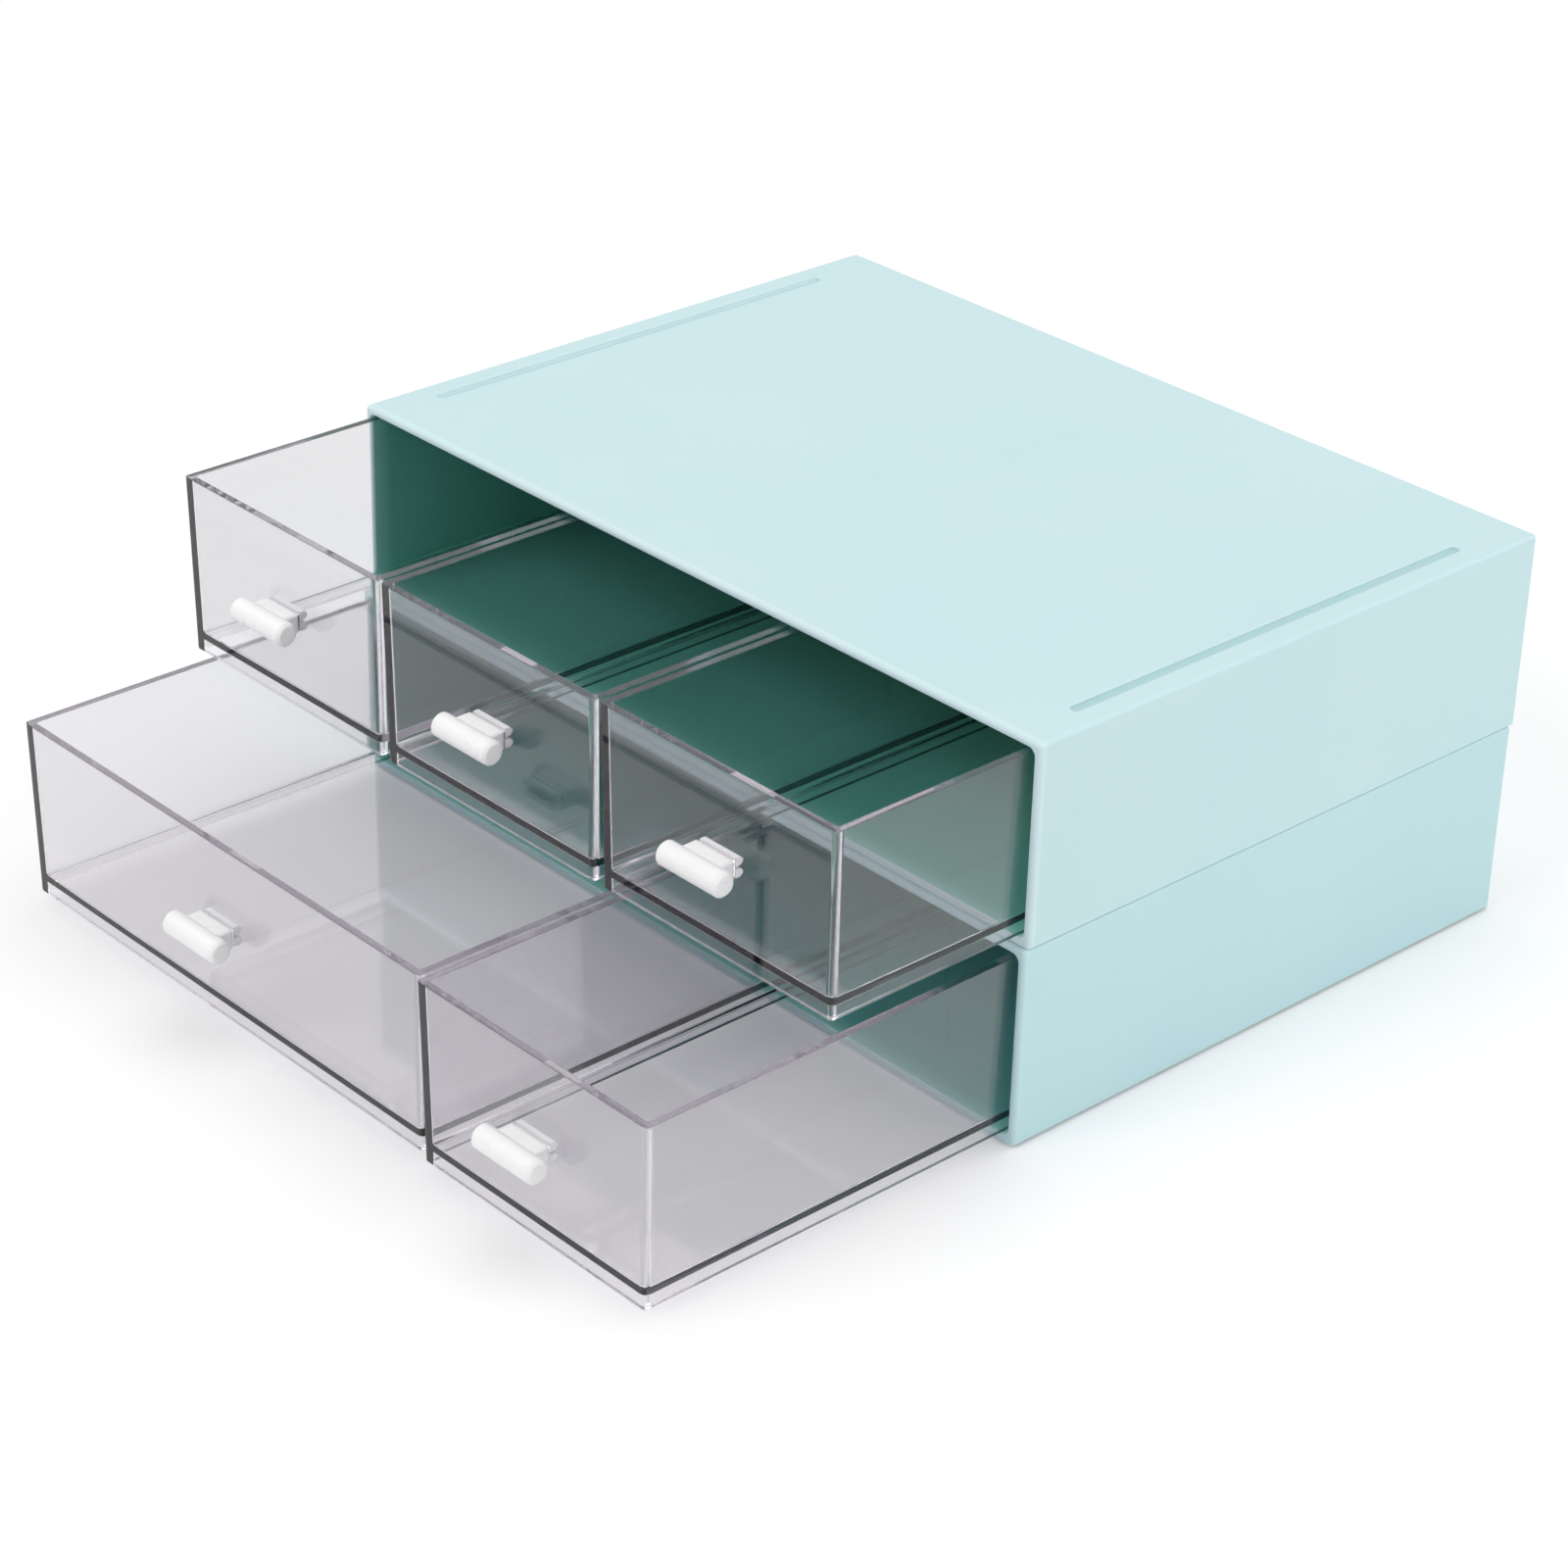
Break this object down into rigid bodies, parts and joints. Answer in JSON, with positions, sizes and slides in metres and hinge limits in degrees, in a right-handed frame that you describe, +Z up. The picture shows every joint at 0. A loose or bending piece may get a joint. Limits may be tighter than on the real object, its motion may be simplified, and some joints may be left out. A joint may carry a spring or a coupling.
{
  "type": "drawer organizer",
  "caption": "Stackable two-tier desktop organizer: pale open-fronted casings holding clear pull-out drawer trays with small T-bar handles, for stamps and craft tools.",
  "frame": {"origin": "on the table, at the middle of the lower casing's footprint", "axes": "+Z up, +Y from the front to the back, +X along the front towards the narrow lower drawer"},
  "size_m": [0.254, 0.3049, 0.1098],
  "materials": {
    "casing": "satin",
    "tub": "clear, faint smoke tint",
    "handle": "satin"
  },
  "bodies": {
    "lower_casing": {"lower_casing": "casing"},
    "upper_casing": {"upper_casing": "casing"},
    "drawer_upper_left": {"drawer_upper_left": "tub", "handle_upper_left": "handle"},
    "drawer_upper_middle": {"drawer_upper_middle": "tub", "handle_upper_middle": "handle"},
    "drawer_upper_right": {"drawer_upper_right": "tub", "handle_upper_right": "handle"},
    "drawer_lower_wide": {"drawer_lower_wide": "tub", "handle_lower_wide": "handle"},
    "drawer_lower_narrow": {"drawer_lower_narrow": "tub", "handle_lower_narrow": "handle"}
  },
  "joints": [
    {"name": "upper_casing_lift", "type": "slide", "parent": "lower_casing", "child": "upper_casing", "axis": [0, 0, 1], "range_m": [0, 0.06]},
    {"name": "drawer_upper_left_slide", "type": "slide", "parent": "upper_casing", "child": "drawer_upper_left", "axis": [0, 1, 0], "range_m": [-0.1196, 0.0609]},
    {"name": "drawer_upper_middle_slide", "type": "slide", "parent": "upper_casing", "child": "drawer_upper_middle", "axis": [0, 1, 0], "range_m": [-0.1197, 0.0608]},
    {"name": "drawer_upper_right_slide", "type": "slide", "parent": "upper_casing", "child": "drawer_upper_right", "axis": [0, 1, 0], "range_m": [-0.1201, 0.0604]},
    {"name": "drawer_lower_wide_slide", "type": "slide", "parent": "lower_casing", "child": "drawer_lower_wide", "axis": [0, 1, 0], "range_m": [-0.0682, 0.1123]},
    {"name": "drawer_lower_narrow_slide", "type": "slide", "parent": "lower_casing", "child": "drawer_lower_narrow", "axis": [0, 1, 0], "range_m": [-0.0666, 0.1139]}
  ]
}
